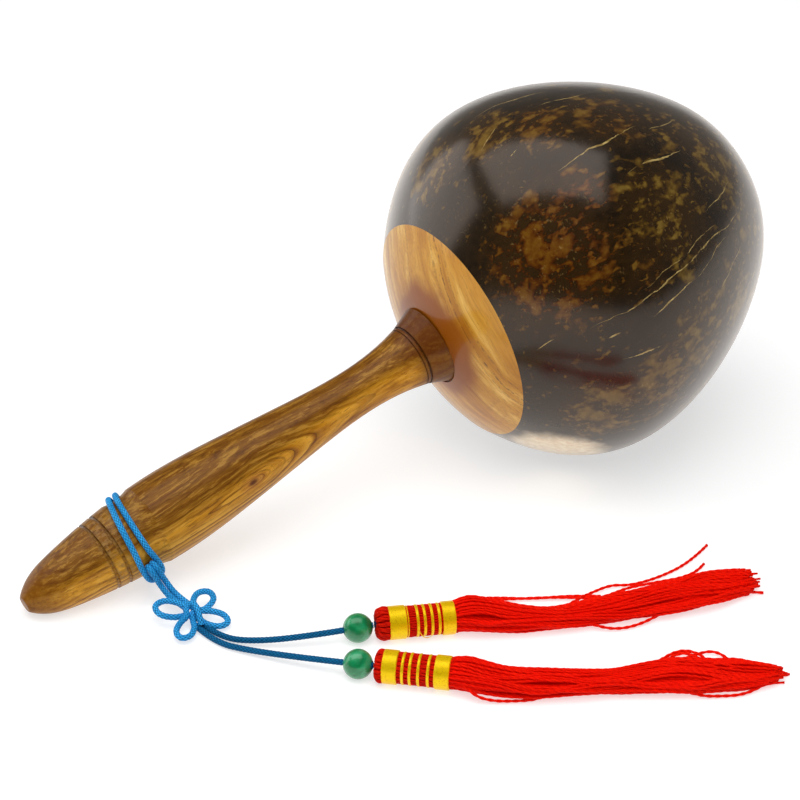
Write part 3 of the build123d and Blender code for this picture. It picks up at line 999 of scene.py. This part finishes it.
# A stray's point is station, sideways, height above the floor
strays = {
    "upper": [
        [
            (52, 1.5, 3.6), (57, 6.0, 2.8), (61.3, 10.4, 1.3), (67.7, 14.2, 0.8),
            (72.8, 12.8, 0.9), (82.1, 16.2, 0.6), (92, 22.4, 0.45), (98.6, 30.0, 0.4),
        ],
        [
            (64, 5.5, 3.0), (70, 10.0, 1.8), (75.6, 12.4, 1.0), (82.8, 13.8, 0.8),
            (87.2, 14.6, 0.7), (92.6, 17.2, 0.5), (95.4, 20.8, 0.45),
        ],
        [
            (23, 2.8, 6.6), (26, 6.2, 5.4), (30, 10.8, 2.6), (36.7, 12.4, 1.0),
            (44.7, 11.0, 0.7), (51.6, 10.9, 0.7), (57, 9.8, 1.2), (63, 6.5, 2.6),
        ],
        [
            (24, 3.4, 6.2), (28, 7.4, 4.6), (32, 11.0, 1.9), (39, 11.6, 0.8),
            (48, 10.4, 1.2), (55, 9.4, 1.1), (61, 6.0, 2.4), (66, 3.0, 3.6),
        ],
        [(92, 6.5, 2.2), (98.9, 5.2, 1.2), (104.5, 4.9, 0.7), (107.8, 4.0, 0.6)],
        [
            (54, -3.6, 2.8), (60.4, -6.5, 1.3), (65.7, -7.2, 0.8),
            (71.5, -5.8, 0.9), (77, -3.4, 1.7), (83, -1.0, 2.4),
        ],
    ],
    "lower": [
        [
            (62, 8.0, 3.4), (68, 14.6, 1.8), (72.6, 20.9, 1.1), (75.3, 24.9, 1.0),
            (78.6, 26.8, 1.0), (82.2, 25.7, 1.0), (84.6, 22.0, 1.6), (88, 18.6, 2.6),
        ],
        [
            (64, 9.0, 3.2), (70, 15.6, 1.6), (74, 21.4, 0.9), (77, 25.4, 0.8),
            (80.4, 25.4, 0.9), (84, 21.0, 1.8), (88, 17.0, 3.0),
        ],
        [
            (78, 21.0, 1.8), (82.6, 26.4, 1.0), (85.9, 27.6, 1.0),
            (88.7, 26.0, 1.0), (91.5, 21.6, 1.8), (95, 18.4, 2.4),
        ],
        [
            (84, 21.4, 2.0), (90.5, 25.4, 1.0), (96.4, 24.7, 0.8),
            (101.3, 22.4, 0.6), (105, 21.8, 0.45),
        ],
        [
            (23, -3.6, 5.0), (27, -6.0, 2.6), (32.0, -5.4, 1.0), (37.9, -4.0, 0.8),
            (42.9, -2.6, 0.9), (47.5, 0.4, 1.8), (53, 2.4, 2.8),
        ],
        [
            (78, 6.8, 2.4), (84.3, 6.6, 1.0), (89.6, 8.0, 0.7),
            (94.5, 9.4, 0.7), (98.4, 12.4, 1.0), (101, 15.0, 1.6),
        ],
        [(92, 14.5, 2.2), (97.9, 16.4, 1.1), (102.1, 18.9, 0.7), (106.2, 21.4, 0.45)],
    ],
}
# Where the skirt parts behind its band: angle round it, station and how far threads turn
partings = {"upper": (2.62, 29.0, 0.30), "lower": (3.35, 33.0, 0.22)}
GOLD_END_RADIUS = 0.11
gold_end = [
    (11.4, -4.45, 4.6), (12.1, -4.62, 2.8), (13.1, -4.0, 1.5), (14.2, -3.3, 1.0), (15, -3.1, 1.1),
]

for name, turn in tassel_turns.items():
    tassel = Tassel(name, turn, skirt_sections[name])
    draw = random.Random("tassel " + name)
    body = "tassel_" + name
    squash = squashes[name]

    knob = object_from_tubes("tassel_knob_threads_" + name, knob_threads(tassel, draw, squash))
    finish_piece(knob, shaded_bound_thread, body, "thread_red", "tassel_knob_" + name)
    core = object_from_tubes("tassel_bound_threads_" + name, core_threads(tassel, draw, squash))
    finish_piece(core, shaded_bound_thread, body, "thread_red", "tassel_core_" + name)
    tubes = skirt_threads(tassel, draw, SKIRT_THREADS, partings[name])
    tubes += stray_threads(tassel, strays[name], draw, STRAY_RADIUS)
    skirt = object_from_tubes("tassel_fringe_" + name, tubes)
    finish_piece(skirt, red_thread, body, "thread_red", "tassel_skirt_" + name)

    for band, spans in windings[name].items():
        wound = [wound_band(tassel, *span) for span in spans]
        if (band, name) == ("thin_bands", "upper"):
            wound += stray_threads(tassel, [gold_end], draw, GOLD_END_RADIUS)
        piece = object_from_tubes(f"wound_{band}_{name}", wound)
        finish_piece(piece, gold_thread, body, "thread_gold", f"{band}_{name}")

# ------------------------------ CAD nodes that stay


def paint(node, material):
    """Gives a CAD node that stays its material."""
    for material_slot in frame["nodes"][node].material_slots:
        material_slot.material = material


paint("coconut_shell", shell_material())
paint("end_cap", cap_material())
paint("handle", handle_material())
seeds = seed_material()
for row_name in ("front", "middle", "rear"):
    paint("rattle_seeds_" + row_name, seeds)
jade = bead_material()
# Painted shade: the stopper knots in the tassels' holes take a dark copy of the blue cord
shaded_stopper_cord = fibre_material(
    "blue_cord_shaded_copy", crest=(0.006, 0.06, 0.16), shaded_hollow=(0.002, 0.02, 0.06),
    tint=(0.004, 0.04, 0.10), roughness=0.6,
)
for name in ("upper", "lower"):
    paint("bead_" + name, jade)
    paint("stopper_knot_" + name, shaded_stopper_cord)

# ------------------------------ floor, lights and camera


def floor_material():
    """Pale paper sweep that glows a little, as a lit table does."""
    shader = Shader("pale_sweep")
    mottling = shader.noise(shader.local(), 0.02, 2)
    shader.colour = shader.mix(mottling, (0.47, 0.47, 0.47), (0.49, 0.49, 0.49))
    return shader.finish(
        roughness=0.9, emission_color=(1, 1, 1, 1), emission_strength=0.62,
        specular_ior_level=0.0,
    )


floor_mesh = bpy.data.meshes.new("floor")
FLOOR_REACH = 60.0
corner_signs = [(-1, -1), (1, -1), (1, 1), (-1, 1)]
floor_corners = [(x * FLOOR_REACH, y * FLOOR_REACH, 0) for x, y in corner_signs]
floor_mesh.from_pydata(floor_corners, [], [(0, 1, 2, 3)])
floor_mesh.materials.append(floor_material())
floor = bpy.data.objects.new("floor", floor_mesh)
bpy.context.scene.collection.objects.link(floor)


def towards_sky(azimuth, elevation):
    """A direction. Azimuth is from +X towards +Y, in degrees like elevation."""
    turn, rise = math.radians(azimuth), math.radians(elevation)
    level = math.cos(rise)
    return Vector((math.cos(turn) * level, math.sin(turn) * level, math.sin(rise)))


def softbox(name, azimuth, elevation, distance, width, height, radiance):
    """An area light that faces the shell from this direction and distance."""
    outward = towards_sky(azimuth, elevation)
    light = bpy.data.lights.new(name, "AREA")
    light.shape = "RECTANGLE"
    light.size, light.size_y = width, height
    light.energy = radiance * 4 * width * height
    lamp = bpy.data.objects.new(name, light)
    lamp.location = shell_centre + outward * distance
    lamp.rotation_mode = "QUATERNION"
    lamp.rotation_quaternion = (-outward).to_track_quat("-Z", "Y")
    lamp.visible_camera = False
    bpy.context.scene.collection.objects.link(lamp)
    return lamp


softbox("overhead_softbox", 146, 78, 0.9, 0.70, 1.36, 1.45)
softbox("left_softbox", 128, 12, 1.0, 0.92, 0.75, 1.25)
# Soft fill from above the camera, which the lacquer does not mirror
fill = softbox("fill", -124, 58, 1.3, 1.1, 1.1, 2.7)
fill.visible_glossy = False

# The studio round the object: azimuth, elevation, reach and softness in degrees, and radiance
STUDIO_RADIANCE = 0.45
studio_parts = [(56, 12, 52, 26, 1.15), (-42, 26, 38, 16, 0.62), (-126, 24, 40, 13, 0.05)]
world = bpy.data.worlds.new("studio")
world.use_nodes = True
sky = Nodes(world.node_tree)
towards = sky.node("TexCoord").outputs["Generated"]
radiance = STUDIO_RADIANCE
for azimuth, elevation, reach, softness, level in studio_parts:
    nearness = sky.vector("DOT_PRODUCT", towards, towards_sky(azimuth, elevation))
    edge, core = math.cos(math.radians(reach + softness)), math.cos(math.radians(reach - softness))
    share = sky.spread(nearness, edge, core)
    radiance = radiance + share * sky.math("SUBTRACT", level, radiance)
# Where the camera sees past the floor, the backdrop is plain white
seen = sky.node("LightPath").outputs["Is Camera Ray"]
radiance = radiance + sky.math("SUBTRACT", 1.0, radiance) * seen
sky.put(world.node_tree.nodes["Background"].inputs["Strength"], radiance)
bpy.context.scene.world = world

CAMERA_PLACE = Vector((-410.06, -612.12, 450.9)) * MM
CAMERA_DIRECTION = Vector((0.48482, 0.72008, -0.49642))
camera_data = bpy.data.cameras.new("camera")
camera_data.lens = 135
camera_data.sensor_width = 36
camera_data.clip_start, camera_data.clip_end = 0.01, 200
camera = bpy.data.objects.new("camera", camera_data)
camera.location = CAMERA_PLACE
camera.rotation_mode = "QUATERNION"
camera.rotation_quaternion = CAMERA_DIRECTION.to_track_quat("-Z", "Y")
bpy.context.scene.collection.objects.link(camera)
bpy.context.scene.camera = camera
bpy.context.scene.view_settings.view_transform = "Standard"
